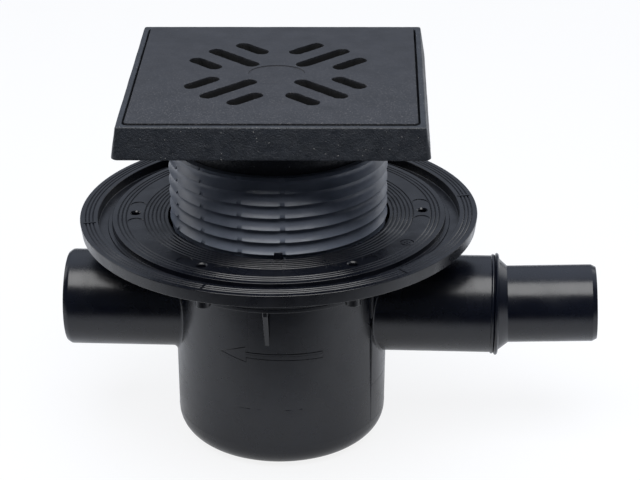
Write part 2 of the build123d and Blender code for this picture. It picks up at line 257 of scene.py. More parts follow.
def finished(piece, material, body, node, sharp=32):
    # smooth skin with crisp edges, its finish, the body it rides on and the solid it stands for
    mesh = piece.data
    mesh.materials.clear()
    mesh.materials.append(material)
    mesh.shade_smooth()
    mesh.set_sharp_from_angle(angle=radians(sharp))
    weighted = piece.modifiers.new("weighted", "WEIGHTED_NORMAL")
    weighted.keep_sharp = True
    weighted.weight = 80
    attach(piece, body)
    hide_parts(node)
    print("  ", piece.name, len(mesh.polygons), "faces")


# view of the photograph
camera = {"place": (0.08366, -0.99522, 0.56128), "aim": (0.021134, 0, 0.106459), "roll": -0.4586, "lens": 118.8}
eye = bpy.data.objects.new("camera", bpy.data.cameras.new("camera"))
eye.data.lens = camera["lens"]
eye.data.sensor_width = 36
eye.data.clip_start = 0.05
eye.data.clip_end = 50
eye.location = camera["place"]
sight = Vector(camera["aim"]) - Vector(camera["place"])
eye.rotation_mode = "QUATERNION"
eye.rotation_quaternion = sight.to_track_quat("-Z", "Y") @ Quaternion((0, 0, 1), radians(camera["roll"]))
scene.collection.objects.link(eye)
scene.camera = eye
scene.view_settings.view_transform = "Standard"

# softboxes: place and aim in metres, size in metres, brightness as seen in a mirror
softboxes = {
    "overhead": {"place": (0.05, -0.43, 1.22), "aim": (0, 0, 0.1), "size": (1.35, 0.85), "bright": 5.4},
    "left": {"place": (-1.3, 0.35, 0.5), "aim": (0, 0, 0.1), "size": (0.6, 0.9), "bright": 1.5},
    "right": {"place": (1.1, 1.15, 0.45), "aim": (0, 0, 0.1), "size": (0.7, 0.8), "bright": 1.0},
}
for name, box in softboxes.items():
    lamp = bpy.data.lights.new(name, "AREA")
    lamp.shape = "RECTANGLE"
    lamp.size, lamp.size_y = box["size"]
    lamp.energy = box["bright"] * pi * box["size"][0] * box["size"][1]
    holder = bpy.data.objects.new(name, lamp)
    holder.location = box["place"]
    holder.rotation_euler = (Vector(box["aim"]) - Vector(box["place"])).to_track_quat("-Z", "Y").to_euler()
    scene.collection.objects.link(holder)

# dark room before the part, a dim wall and ceiling behind it; white only where the camera looks past the part
studio = {
    "front": 0.07, "back": (0.09, 1.0), "tint": (0.84, 0.92, 1.08), "turnOver": (-0.15, 0.35), "climb": (0.1, 0.95),
}
world = bpy.data.worlds.new("studio")
world.use_nodes = True
scene.world = world
tree = world.node_tree
toward = addNode(tree, "SeparateXYZ", {0: addNode(tree, "TexCoord").outputs["Generated"]})
behind = remap(tree, toward.outputs["Y"], *studio["turnOver"], 0, 1)
height = remap(tree, toward.outputs["Z"], *studio["climb"], *studio["back"])
strength = arithmetic(tree, "MULTIPLY_ADD", behind, height, studio["front"])
soft = tree.nodes["Background"]
soft.inputs["Color"].default_value = (*studio["tint"], 1)
tree.links.new(strength, soft.inputs["Strength"])
white = addNode(tree, "Background", {"Color": (1, 1, 1, 1), "Strength": 1})
path = addNode(tree, "LightPath")
seen = arithmetic(tree, "MAXIMUM", path.outputs["Is Camera Ray"], path.outputs["Is Transmission Ray"])
shown = addNode(tree, "MixShader", {0: seen, 1: soft.outputs[0], 2: white.outputs[0]})
tree.links.new(shown.outputs[0], tree.nodes["World Output"].inputs["Surface"])

# floor: white paper that keeps a soft shadow; it ends a little way before the part, out of the picture
paper = {
    "half": 6000, "drop": 0.02, "colour": (0.70, 0.74, 0.82), "beyond": (0.02, 0.021, 0.024),
    "edge": (-0.24, -0.10), "rough": 0.9, "shine": 0.1, "white": 1.05, "glow": 0.82, "mirrorGlow": 0.5,
}
span, drop = paper["half"], paper["drop"]
floor = newPiece("floor", [(-span, -span, -drop), (span, -span, -drop), (span, span, -drop),
                           (-span, span, -drop)], [(0, 1, 2, 3)])
if floor.data.polygons[0].normal.z < 0:
    floor.data.flip_normals()
material = bpy.data.materials.new("paper")
material.use_nodes = True
tree = material.node_tree
diffuse = tree.nodes["Principled BSDF"]
forward = addNode(tree, "SeparateXYZ", {0: addNode(tree, "TexCoord").outputs["Object"]})
onPaper = remap(tree, forward.outputs["Y"], *paper["edge"], 0, 1)
shade = blended(tree, onPaper, (*paper["beyond"], 1), (*paper["colour"], 1))
tree.links.new(shade, diffuse.inputs["Base Color"])
diffuse.inputs["Roughness"].default_value = paper["rough"]
diffuse.inputs["Specular IOR Level"].default_value = paper["shine"]
glow = addNode(tree, "Emission", {"Color": (1, 1, 1, 1), "Strength": paper["white"]})
path = addNode(tree, "LightPath")
mirrored = arithmetic(tree, "MULTIPLY", path.outputs["Is Glossy Ray"], onPaper)
mirrored = arithmetic(tree, "MULTIPLY", mirrored, paper["mirrorGlow"])
amount = arithmetic(tree, "MULTIPLY_ADD", path.outputs["Is Camera Ray"], paper["glow"], mirrored)
shown = addNode(tree, "MixShader", {0: amount, 1: diffuse.outputs[0], 2: glow.outputs[0]})
tree.links.new(shown.outputs[0], tree.nodes["Material Output"].inputs["Surface"])
floor.data.materials.append(material)
print("camera, lamps and floor set")


# colours and grain; sizes and depths in millimetres
finishes = {
    "frameIron": {
        "dark": (0.016, 0.019, 0.025), "light": (0.025, 0.029, 0.037), "mottleSize": 4,
        "smearSize": 5, "roughness": (0.38, 0.58), "grain": ((1.7, 0.26), (0.8, 0.26), (0.45, 0.12)),
        # pale specks: pale flecks in the iron and partly painted glints where light catches the grain; the dark
        # specks are pits
        "specks": ({"spacing": 1.9, "size": 0.30, "share": 0.30, "cover": 0.75,
                    "colour": (0.34, 0.33, 0.31), "height": 0.10},
                   {"spacing": 3.6, "size": 0.45, "share": 0.25, "cover": 0.5,
                    "colour": (0.004, 0.004, 0.005), "height": -0.15}),
    },
    "grateIron": {
        "dark": (0.013, 0.014, 0.018), "light": (0.020, 0.021, 0.026), "mottleSize": 14,
        "smearSize": 9, "roughness": (0.38, 0.50), "grain": ((2.4, 0.07), (0.9, 0.07), (0.4, 0.04)),
        "specks": ({"spacing": 2.9, "size": 0.24, "share": 0.16, "cover": 0.6,
                    "colour": (0.30, 0.29, 0.28), "height": 0.03},
                   {"spacing": 5.5, "size": 0.34, "share": 0.16, "cover": 0.8,
                    "colour": (0.004, 0.004, 0.005), "height": -0.12}),
        # painted shade: slot walls and the parts under the top face made near black, as shade falls there
        "paintedShade": {"low": 196.6, "high": 197.7, "colour": (0.0009, 0.0012, 0.0019), "rough": 0.35},
        # pale dust grains plus a painted sheen: the cover grows toward the front to lighten the top there
        "dustAndSheen": {"from": 0.045, "to": -0.07, "size": 0.8, "grains": (0.56, 0.70), "cover": (0.05, 0.45),
                 "colour": (0.30, 0.29, 0.29)},
    },
    "sumpPlastic": {
        "dark": (0.0016, 0.0026, 0.0068), "light": (0.0030, 0.0043, 0.0098), "mottleSize": 26,
        "smearSize": 12, "roughness": (0.20, 0.31), "grain": ((16, 0.12), (3.0, 0.014), (0.6, 0.004)),
        "specks": ({"spacing": 8, "size": 0.25, "share": 0.10, "cover": 0.35,
                    "colour": (0.10, 0.10, 0.10), "height": 0.0},),
    },
    "flangePlastic": {
        "dark": (0.0018, 0.0024, 0.0050), "light": (0.0042, 0.0050, 0.0088), "mottleSize": 15,
        "smearSize": 9, "roughness": (0.22, 0.38), "grain": ((9, 0.10), (1.8, 0.022), (0.5, 0.008)),
        "specks": ({"spacing": 5, "size": 0.28, "share": 0.14, "cover": 0.6,
                    "colour": (0.24, 0.24, 0.25), "height": 0.01},),
    },
    "greyPlastic": {
        "dark": (0.135, 0.155, 0.200), "light": (0.175, 0.198, 0.248), "mottleSize": 12,
        "smearSize": 8, "roughness": (0.29, 0.38), "grain": ((6, 0.05), (1.2, 0.014), (0.4, 0.006)),
        "specks": ({"spacing": 7, "size": 0.3, "share": 0.12, "cover": 0.4,
                    "colour": (0.30, 0.31, 0.33), "height": 0.01},),
    },
    "whitePlastic": {
        "dark": (0.42, 0.42, 0.41), "light": (0.50, 0.50, 0.49), "mottleSize": 20,
        "smearSize": 10, "roughness": (0.35, 0.5), "grain": ((6, 0.03), (0.8, 0.008)),
    },
    "sealRubber": {
        "dark": (0.010, 0.010, 0.010), "light": (0.018, 0.018, 0.018), "mottleSize": 5,
        "smearSize": 4, "roughness": (0.55, 0.75), "grain": ((2.5, 0.03), (0.3, 0.01)),
    },
}
skins = {name: surface(name, look) for name, look in finishes.items()}
print("finishes made:", ", ".join(skins))


# sump: cup, two pipes, gussets, flow arrow
cup = {
    "radius": 54.8, "wall": 3.2, "floor": 3.5, "corner": 12.6, "top": 96.9,
    "shoulder": 62.8, "shoulderFoot": 94.5,
    "panelHalf": 27.5, "panelProud": 1.5, "panelFoot": 13.0,
    "partingLines": (-102.7, -91.6), "partingDepth": 0.07, "seams": (35.5, 13.6), "seamDepth": 0.16,
    "footRidge": 0.08, "lowLevels": (24, 30), "highLevels": (45, 55, 65, 75, 85, 92),
}


def panelRadius(z):
    # outside radius of the flat-ended panel that carries the inlet
    share = (z - cup["panelFoot"]) / (cup["shoulderFoot"] - cup["panelFoot"])
    return cup["radius"] + cup["panelProud"] * max(0, min(1, share))


def cupOutline(angle):
    proud = abs((angle + 180) % 360 - 180) < cup["panelHalf"]
    groove = cup["partingDepth"] if any(abs(angle - 360 - a) < 0.02 for a in cup["partingLines"]) else 0
    side = panelRadius if proud else (lambda z: cup["radius"] - groove)
    r, seam, foot = cup["corner"], *cup["seams"]
    corners = [(0, 0, 0)]
    for k in range(11):
        a = pi / 2 * k / 10 if k < 10 else acos(1 - (foot - 0.5) / r)
        corners.append((cup["radius"] - groove - r + r * sin(a), r - r * cos(a), 0))
    corners += [(cup["radius"] - groove + cup["footRidge"], foot, 0), (cup["radius"] - groove, foot + 0.5, 0)]
    for z in (cup["corner"] + 1, *cup["lowLevels"]):
        corners.append((side(z), z, 0))
    # the seam is broken: its depth comes and goes round the cup
    deep = cup["seamDepth"] * max(0, 0.45 + 1.9 * noise.noise(Vector((angle / 3.1, 0.7, 0.3))))
    corners += [(side(seam - 0.35), seam - 0.35, 0), (side(seam) - deep, seam, 0),
                (side(seam + 0.35), seam + 0.35, 0)]
    for z in cup["highLevels"]:
        corners.append((side(z), z, 0))
    corners += [(side(cup["shoulderFoot"]), cup["shoulderFoot"], 0.3),
                (cup["shoulder"], cup["shoulderFoot"], 0.45), (cup["shoulder"], cup["top"], 0.25),
                (cup["radius"] - cup["wall"], cup["top"], 0),
                (cup["radius"] - cup["wall"], cup["floor"], cup["corner"] - cup["wall"]),
                (0, cup["floor"], 0)]
    return rounded(corners)


edgeStep = 0.12
edges = []
for edge in (-cup["panelHalf"], cup["panelHalf"]):
    edges += [edge - edgeStep, edge + edgeStep]
for line in cup["partingLines"]:
    edges += [line - 0.3, line, line + 0.3]
rows = []
for a in roundAngles(240, edges):
    rows.append([(r * cos(a), r * sin(a), z) for r, z in cupOutline(a * 180 / pi)])
sumpCup = gridSkin("sumpCup", rows)

pipes = {
    "axis": 71.6, "wall": 3.0, "endFlat": 1.2, "endLong": 2.4,
    "outlet": {"side": -1, "radius": 25.0, "reach": 111.4, "root": 2.5},
    "inlet": {"side": 1, "radius": 25.3, "reach": 111.8, "root": 1.3},
}


def pipeSkin(name, pipe, cupRadius, steps=144):
    # pipe with a rolling-ball fillet where it meets the cup; the inner end follows the cup's wall
    side, radius, root = pipe["side"], pipe["radius"], pipe["root"]
    bore = radius - pipes["wall"]
    inner = cup["radius"] - cup["wall"] - 0.2
    rows = []
    for i in range(steps):
        a = 2 * pi * i / steps
        y, z = cos(a), sin(a)

        def at(x, r):
            return (side * x, r * y, pipes["axis"] + r * z)

        row = [at(sqrt(inner ** 2 - (bore * y) ** 2), bore), at(pipe["reach"] - 0.3, bore),
               at(pipe["reach"], bore + 0.3)]
        if pipe["side"] < 0:
            row += [at(pipe["reach"], radius - pipes["endFlat"] - 0.2),
                    at(pipe["reach"] - 0.2, radius - pipes["endFlat"]),
                    at(pipe["reach"] - pipes["endLong"] + 0.5, radius - 0.1),
                    at(pipe["reach"] - pipes["endLong"] - 0.6, radius)]
        else:
            row += [at(pipe["reach"], radius - 0.2), at(pipe["reach"], radius)]
        ballHeight = pipes["axis"] + (radius + root) * z
        wall = cupRadius(ballHeight)
        ballX = sqrt((wall + root) ** 2 - ((radius + root) * y) ** 2)
        ball = Vector((side * ballX, (radius + root) * y, ballHeight))
        onPipe = Vector(at(ballX, radius))
        inward = Vector((ball.x, ball.y, 0)).normalized()
        onCup = ball - inward * root
        for t in (0.97, 0.9, 0.8, 0.6, 0.4, 0.2):
            row.append(at(ballX + (pipe["reach"] - ballX - 6) * t * 0.9, radius))
        fromBall = (onPipe - ball).normalized()
        toBall = (onCup - ball).normalized()
        for k in range(9):
            spoke = fromBall.slerp(toBall, k / 8)
            row.append(tuple(ball + spoke * root))
        sunk = onCup - inward * 1.4
        row.append(tuple(sunk))
        rows.append(row)
    return gridSkin(name, rows)


outletPipe = pipeSkin("outletPipe", pipes["outlet"], lambda z: cup["radius"])
inletPipe = pipeSkin("inletPipe", pipes["inlet"], panelRadius)
cutters = []
for key in ("outlet", "inlet"):
    pipe = pipes[key]
    bore = pipe["radius"] - pipes["wall"] + 0.05
    low, high = sorted((pipe["side"] * 30, pipe["side"] * 66))
    outline = [(0, low), (bore, low), (bore, high), (0, high)]
    cutters.append(latheAlongX("boreCutter", outline, pipes["axis"], 96))
combine(sumpCup, joined(cutters))

# double weld bead between the stub and the reducer, slightly uneven all round
bead = {"x": 111.8, "radius": 25.3, "first": (-0.8, 0.9, 0.75), "second": (1.25, 1.15, 1.4)}


def beadOutline(angle, shift, half, proud, seed):
    swell = 1 + 0.09 * noise.noise(Vector((cos(angle) * 2.1, sin(angle) * 2.1, seed)))
    points = [(bead["radius"] - 0.5, bead["x"] + shift - half)]
    for k in range(9):
        a = pi * k / 8
        points.append((bead["radius"] - 0.02 + proud * swell * sin(a) ** 1.3, bead["x"] + shift - half * cos(a)))
    points.append((bead["radius"] - 0.5, bead["x"] + shift + half))
    return points


weldBeads = []
for key, seed in (("first", 3.0), ("second", 8.0)):
    rows = []
    for a in roundAngles(160):
        rows.append([(x, r * cos(a), pipes["axis"] + r * sin(a)) for r, x in beadOutline(a, *bead[key], seed)])
    weldBeads.append(gridSkin("weldBead", rows))

# gussets under the shoulder, front and back
gusset = {"angles": (-92.6, 87.4), "reach": 6.0, "height": 22.0, "thick": 2.6}
fins = []
for angle in gusset["angles"]:
    foot = cup["shoulderFoot"] - gusset["height"]
    profile = [(cup["radius"] - 1, cup["shoulderFoot"] + 0.5),
               (cup["radius"] + gusset["reach"], cup["shoulderFoot"] + 0.5),
               (cup["radius"] + gusset["reach"], cup["shoulderFoot"] - gusset["reach"] / 2),
               (cup["radius"] + 0.1, foot), (cup["radius"] - 1, foot)]
    rows = []
    half = gusset["thick"] / 2
    for side, inset in ((-half, 0.35), (-half + 0.3, 0), (half - 0.3, 0), (half, 0.35)):
        rows.append([(*turned(r - (inset if r > cup["radius"] else 0), side, angle), z)
                     for r, z in rounded([(r, z, 0.5 if r > cup["radius"] + 1 else 0)
                                          for r, z in profile])])
    fins.append(loft("gusset", rows))

# flow arrow: a thin raised plateau with sloped edges, wrapped round the cup
arrow = {
    "proud": 0.14, "slope": 0.3,
    "head": ((-29.2, 66.0, 66.0), (-14.3, 62.3, 70.9)),
    "shaft": ((-14.3, 64.8, 67.9), (27.2, 63.5, 67.2)),
    "lineWidth": 0.5, "lineProud": 0.22, "lineStep": 1.5,
}
columns = []
for part, steps in (("head", 10), ("shaft", 26)):
    (a0, low0, high0), (a1, low1, high1) = arrow[part]
    for i in range(steps + 1):
        t = i / steps
        columns.append((a0 + (a1 - a0) * t, low0 + (low1 - low0) * t, high0 + (high1 - high0) * t))
loops = []
for i, (angle, low, high) in enumerate(columns):
    if i == 0:
        low, high = low - 0.1, high + 0.1
    slope = min(arrow["slope"], (high - low) * 0.45)
    a = radians(angle - 90)
    crest = cup["radius"] + (arrow["proud"] if 0 < i < len(columns) - 1 else 0.02)
    loops.append([(r * cos(a), r * sin(a), z)
                  for r, z in ((cup["radius"] - 0.3, low), (crest, low + slope), (crest, high - slope),
                               (cup["radius"] - 0.3, high))])
flowArrow = loft("flowArrow", loops)


def wrappedRidge(path):
    # thin ridge along a path of (degrees, height) points on the cup; its upper side is the broad one
    width, proud, step = arrow["lineWidth"], arrow["lineProud"], arrow["lineStep"]
    dense = []
    for (a0, z0), (a1, z1) in zip(path, path[1:]):
        count = max(1, int(hypot((a1 - a0) * pi / 180 * cup["radius"], z1 - z0) / step))
        dense += [(a0 + (a1 - a0) * k / count, z0 + (z1 - z0) * k / count) for k in range(count)]
    dense.append(path[-1])
    loops = []
    for i, (a, z) in enumerate(dense):
        before, after = dense[max(0, i - 1)], dense[min(len(dense) - 1, i + 1)]
        along = Vector(((after[0] - before[0]) * pi / 180 * cup["radius"], after[1] - before[1])).normalized()
        across = Vector((-along.y, along.x)) * (1 if along.x >= 0 else -1)
        loops.append([])
        for shift, lift in ((-0.5, -0.2), (-0.25, proud), (0.5, -0.2)):
            turn = radians(a - 90) + across.x * shift * width / cup["radius"]
            r = cup["radius"] + lift
            loops[-1].append((r * cos(turn), r * sin(turn), z + across.y * shift * width))
    return loft("arrowLine", loops)


tip, head, shaft = arrow["head"][0], arrow["head"][1], arrow["shaft"][1]
start = arrow["shaft"][0]
lines = [[(tip[0], tip[1]), (head[0], head[2]), (head[0], start[2]), (shaft[0], shaft[2])],
         [(tip[0], tip[1]), (head[0], head[1]), (head[0], start[1])],
         [(head[0], start[2] - 1.1), (shaft[0], shaft[2] - 1.2)],
         [(head[0], start[1]), (shaft[0], shaft[1]), (shaft[0], shaft[2])]]
arrowLines = joined([wrappedRidge(line) for line in lines])
arrowLines.name = "arrowLines"
for piece in (sumpCup, outletPipe, inletPipe, weldBeads[0], *fins, flowArrow, arrowLines):
    finished(piece, skins["sumpPlastic"], "drain_body", "sump_body")

# reducer, welded on a little crooked: rings behind the weld lean with the tail
reducer = {"neck": 2.0, "cone": 5.2, "radius": 20.0, "bore": 17.0, "tail": 46.0, "tilt": 2.1}
stub, lead, tail = bead["radius"], reducer["neck"], reducer["neck"] + reducer["cone"] + reducer["tail"]
outline = rounded([
    (stub - 3, 0, 0), (stub, 0, 0), (stub - 0.1, lead - 1.0, 0.5), (reducer["radius"], lead + reducer["cone"], 0.9),
    (reducer["radius"], 20, 0), (reducer["radius"], 36, 0), (reducer["radius"], tail - pipes["endLong"], 0.9),
    (reducer["radius"] - pipes["endFlat"], tail, 0.3), (reducer["bore"], tail, 0.4),
    (reducer["bore"], lead + reducer["cone"], 0.8), (stub - 3, lead, 0.8)])
rows = []
for a in roundAngles(160):
    row = []
    for r, x in outline:
        past = max(0, x - lead)
        lean = radians(reducer["tilt"]) * min(1, past / reducer["cone"])
        forward = bead["x"] + min(x, lead) + past * cos(radians(reducer["tilt"]))
        up = pipes["axis"] + past * sin(radians(reducer["tilt"]))
        row.append((forward - r * sin(a) * sin(lean), r * cos(a), up + r * sin(a) * cos(lean)))
    rows.append(row)
inletReducer = gridSkin("inletReducer", rows)
for piece in (inletReducer, weldBeads[1]):
    finished(piece, skins["sumpPlastic"], "drain_body", "inlet_reducer")
print("sump made")


# flange ring
flange = {
    "turn": 3.7, "top": 123.5, "plate": 122.1, "channel": 118.5, "step": 119.1,
    "rim": 102.3, "rimFoot": 101.4, "rimUnder": 116.8, "rimInner": 93.0, "plateEdge": 85.8, "stepEdge": 88.0,
    "rimGrooves": (95.6, 97.45, 99.3), "outerGrooves": (78.6, 80.65, 82.7), "bore": 57.1, "socket": 62.2,
    "innerGrooves": (59.0, 61.05, 63.1, 65.15, 67.2, 69.25), "grooveWidth": 0.85, "grooveDepth": 0.54,
    "screwCircle": 74.0, "screws": 6, "hole": 2.3, "mouth": 2.95, "boss": 3.8, "bossFoot": 100.0,
    "holeFloor": 102.5, "dimple": 4.0, "dimpleOffset": 10.4, "dimpleDepth": 0.3,
    "mouthDepth": 0.65, "holeStart": 110, "bossTop": 118.3,
    "skirtIn": 96.2, "skirtFoot": 115.3, "webIn": 82.6, "web": 118.1, "socketFoot": 98.1,
    "seatIn": 41.4, "seat": 99.5, "sealOut": 59.6, "sealLow": 106.5, "sealHigh": 114.5,
    "lugAngle": -85.8, "lugIn": 56.5, "lugOut": 58.7, "lugHalf": 2.2, "lugFoot": 118.7, "lugTop": 125.1,
    "marks": 6, "markTurn": 12.6, "markIn": 94.2, "markOut": 100.6, "markHalf": 0.5, "markFoot": 122.6,
    "markProud": 0.3, "stamp": (66.9, -35.5, 3.7), "lean": (0.0012, 0.0017), "leanFrom": 98,
}


def grooves(radii, z):
    # each groove slopes down outward and comes up steeply, so the near ones glint and the side ones stay dark
    corners = []
    half = flange["grooveWidth"] / 2
    for r in radii:
        corners += [(r - half, z, 0.12), (r + half - 0.2, z - flange["grooveDepth"], 0.08), (r + half, z, 0.1)]
    return corners


outline = rounded(
    [(flange["bore"], flange["plate"], 0.3)]
    + grooves(flange["innerGrooves"], flange["plate"])
    + grooves(flange["outerGrooves"], flange["plate"])
    + [(flange["plateEdge"], flange["plate"], 0.4), (flange["plateEdge"], flange["step"], 0.3),
       (flange["stepEdge"], flange["step"], 0.2), (flange["stepEdge"], flange["channel"], 0.15),
       (flange["rimInner"], flange["channel"], 0.5), (flange["rimInner"], flange["top"], 0.4)]
    + grooves(flange["rimGrooves"], flange["top"])
    + [(flange["rim"], flange["top"], 0.5), (flange["rimFoot"], flange["rimUnder"], 0.5),
       (flange["skirtIn"], flange["rimUnder"], 0.2), (flange["skirtIn"], flange["skirtFoot"], 0.4),
       (flange["webIn"], flange["skirtFoot"], 0.4), (flange["webIn"], flange["web"], 0.2),
       (flange["socket"], flange["web"], 0.4), (flange["socket"], flange["socketFoot"], 0.2),
       (cup["shoulder"], flange["socketFoot"], 0.25), (cup["shoulder"], cup["top"] + 0.02, 0.25),
       (flange["seatIn"], cup["top"] + 0.02, 0), (flange["seatIn"], flange["seat"], 0.3),
       (flange["bore"], flange["seat"], 0.2), (flange["bore"], flange["sealLow"], 0),
       (flange["sealOut"], flange["sealLow"], 0), (flange["sealOut"], flange["sealHigh"], 0),
       (flange["bore"], flange["sealHigh"], 0)])
flangeRing = lathe("flangeRing", outline, 256)

cutters = []
for i in range(flange["screws"]):
    angle = flange["turn"] + 360 / flange["screws"] * i
    x, y = turned(flange["screwCircle"], 0, angle)
    outline = [(0, flange["holeStart"]), (flange["hole"], flange["holeStart"]),
               (flange["hole"], flange["plate"] - flange["mouthDepth"]), (flange["mouth"], flange["plate"]),
               (flange["mouth"] + 0.5, flange["plate"] + 0.5), (0, flange["plate"] + 0.5)]
    cutters.append(lathe("holeCutter", outline, 32, x, y))
    for side in (-1, 1):
        swing = side * flange["dimpleOffset"] / flange["screwCircle"] * 180 / pi
        x, y = turned(flange["screwCircle"], 0, angle + swing)
        deep = flange["plate"] - flange["dimpleDepth"]
        outline = [(0, deep), (flange["dimple"] - 0.1, deep),
                   (flange["dimple"] + 0.1, flange["plate"] + 0.1), (0, flange["plate"] + 0.1)]
        cutters.append(lathe("dimpleCutter", outline, 40, x, y))
# small round date stamp: a ring and four dots
x, y, r = flange["stamp"]
low, high = flange["plate"] - 0.35, flange["plate"] + 0.2
outline = [(r - 0.9, high), (r - 0.7, low), (r - 0.2, low), (r, high)]
cutters.append(lathe("stampRing", outline, 40, x, y))
for u, v in ((-1.2, 0), (1.2, 0), (0, -1.3), (0, 1.3)):
    outline = [(0, low), (0.35, low), (0.6, high), (0, high)]
    cutters.append(lathe("stampDot", outline, 12, x + u, y + v))
combine(flangeRing, joined(cutters))

bosses = []
for i in range(flange["screws"]):
    angle = flange["turn"] + 360 / flange["screws"] * i
    x, y = turned(flange["screwCircle"], 0, angle)
    outline = rounded([(0, flange["bossFoot"], 0), (flange["boss"], flange["bossFoot"], 0.5),
                       (flange["boss"], flange["bossTop"], 0), (flange["hole"], flange["bossTop"], 0),
                       (flange["hole"], flange["holeFloor"], 0), (0, flange["holeFloor"], 0)])
    bosses.append(lathe("boss", outline, 36, x, y))
screwBosses = joined(bosses)
screwBosses.name = "screwBosses"


def softBlock(name, inR, outR, half, low, high, angle, edge=0.35):
    # small moulded block with rounded top edges, set at an angle round the axis
    middle, halfDeep = (inR + outR) / 2, (outR - inR) / 2
    corners = [(-1, -1), (1, -1), (1, 1), (-1, 1)]
    loops = []
    for z, inset in ((low, 0), (high - edge, 0), (high - edge * 0.3, edge * 0.3), (high, edge)):
        outline = rounded([(s * (halfDeep - inset), t * (half - inset), edge) for s, t in corners])
        loops.append([(*turned(middle + u, v, angle), z) for u, v in outline])
    return loft(name, loops)


keyLug = softBlock("keyLug", flange["lugIn"], flange["lugOut"], flange["lugHalf"], flange["lugFoot"],
                   flange["lugTop"], flange["lugAngle"])
marks = []
for i in range(flange["marks"]):
    angle = flange["markTurn"] + 360 / flange["marks"] * i
    marks.append(softBlock("rimMark", flange["markIn"], flange["markOut"], flange["markHalf"],
                           flange["markFoot"], flange["top"] + flange["markProud"], angle, 0.2))
rimMarks = joined(marks)
rimMarks.name = "rimMarks"
for piece in (flangeRing, screwBosses, keyLug, rimMarks):
    # the ring is welded on leaning a hair, up toward the back and the right
    for vertex in piece.data.vertices:
        if vertex.co.z > flange["leanFrom"] * mm:
            vertex.co.z += flange["lean"][0] * vertex.co.x
            vertex.co.z += flange["lean"][1] * (vertex.co.y + flange["rim"] * mm)
    finished(piece, skins["flangePlastic"], "drain_body", "flange_ring")
print("flange made")


# extension tube
tube = {
    "lip": 55.9, "valley": 53.8, "plain": 54.9, "bore": 51.5, "bottom": 99.5, "top": 163.88,
    "rings": 7, "pitch": 6.53, "lowest": 123.4, "land": 0.2, "undercut": 0.45, "hollow": 0.9, "upright": 0.15,
    "stop": 141.88, "stopRadius": 48.5, "stopThick": 3.0,
    "shank": 118.6, "taper": 101, "notchFloor": 54.95, "notchLean": 0.3, "notchHalf": 1.2, "notchFrom": 0.9,
    "notches": (-151.0, -128.5, -106.0, -83.5), "bow": 1.8,
}
lips = [tube["lowest"] + i * tube["pitch"] for i in reversed(range(tube["rings"]))]
corners = [(tube["bore"], tube["top"], 0.4), (tube["plain"], tube["top"], 0.4)]
for i, lip in enumerate(lips):
    land = lip - tube["land"]
    corners += [(tube["lip"], lip, 0.12), (tube["lip"], land, 0.1)]
    under = land - tube["undercut"]
    hollow = under - tube["hollow"]
    corners += [(tube["valley"], under, 0.3), (tube["valley"], hollow, 0)]
    rise = tube["lip"] - tube["valley"]
    drop = tube["pitch"] - tube["land"] - tube["undercut"] - tube["hollow"]
    for k in range(1, 9 if i < len(lips) - 1 else 6):
        share = k / 9
        out = max(0, share - tube["upright"]) / (1 - tube["upright"])
        corners.append((tube["valley"] + rise * out ** tube["bow"], hollow - drop * share, 0))
corners += [(tube["plain"], tube["shank"], 0.2), (tube["plain"], tube["taper"], 0.3),
            (tube["plain"] - 0.6, tube["bottom"], 0.3), (tube["bore"], tube["bottom"], 0.3),
            (tube["bore"], tube["stop"] - 2 * tube["stopThick"], 0.5),
            (tube["stopRadius"], tube["stop"] - tube["stopThick"], 0.5), (tube["stopRadius"], tube["stop"], 0.3),
            (tube["bore"], tube["stop"], 0.3)]
outline = rounded(corners)
notchAngles = [a + turn for a in tube["notches"] for turn in (0, 180)]
halfTurn = tube["notchHalf"] / tube["plain"] * 180 / pi
edges = []
for a in notchAngles:
    edges += [a - halfTurn - 0.1, a - halfTurn, a, a + halfTurn, a + halfTurn + 0.1]
rows = []
for a in roundAngles(240, edges):
    turn = a * 180 / pi
    inNotch = any(abs((turn - n + 180) % 360 - 180) < halfTurn + 0.02 for n in notchAngles)
    row = []
    for r, z in outline:
        if inNotch and z > lips[-1] - tube["notchFrom"]:
            r = min(r, tube["notchFloor"] + max(0, r - tube["notchFloor"]) * tube["notchLean"])
        row.append((r * cos(a), r * sin(a), z))
    rows.append(row)
extensionTube = gridSkin("extensionTube", rows)
finished(extensionTube, skins["greyPlastic"], "extension", "extension_tube")
print("extension tube made")


# cast frame and grate
casting = {
    "turn": 2.1, "baseHalf": 76.0, "topHalf": 73.5, "base": 181.53, "top": 197.63, "corner": 3.2, "topCorner": 0.9,
    "pocketHalf": 70.8, "pocketCorner": 3.6, "ledge": 191.23, "funnelHalf": 64.3, "funnelCorner": 10.0,
    "funnelFoot": 186.23, "collar": 51.1, "collarBore": 47.1, "collarFoot": 141.88, "recess": 185.93,
    "recessIn": 58.0, "recessHalf": 67.2, "wobble": 0.11, "wobbleFrom": 60,
}


def squareReach(half, corner, angle):
    # distance from the middle to a rounded square's edge in this direction
    t = abs((angle + pi / 4) % (pi / 2) - pi / 4)
    if half * tan(t) <= half - corner:
        return half / cos(t)
    middle = half - corner
    along = middle * (cos(t) + sin(t))
    return along + sqrt(max(0, along * along - 2 * middle * middle + corner * corner))


def squareAngles():
    quarter = [-45 + 0.35 * k for k in range(9)] + [-41 + 1.0 * k for k in range(83)]
    quarter += [45 - 0.35 * k for k in range(8, 0, -1)]
    return [radians(a + 90 * q) for q in range(4) for a in quarter]


def squareStack(name, profile, turn, wobble):
    # (half side, height, plan corner) loops, one above or inside the other
    rows = []
    for half, z, corner in profile:
        row = []
        for a in squareAngles():
            reach = squareReach(half, min(corner, half), a)
            x, y = turned(reach * cos(a), reach * sin(a), turn)
            if half > casting["wobbleFrom"]:
                shift = noise.noise(Vector((x / 11, y / 11, z / 6))) * wobble
                shift += noise.noise(Vector((x / 2.6, y / 2.6, z / 2.6))) * wobble * 0.45
                scale = 1 + (shift - wobble * 0.4) / reach
                row.append((x * scale, y * scale, z + min(0, shift * 0.6)))
            else:
                row.append((x, y, z))
        rows.append(row)
    return gridSkin(name, rows)


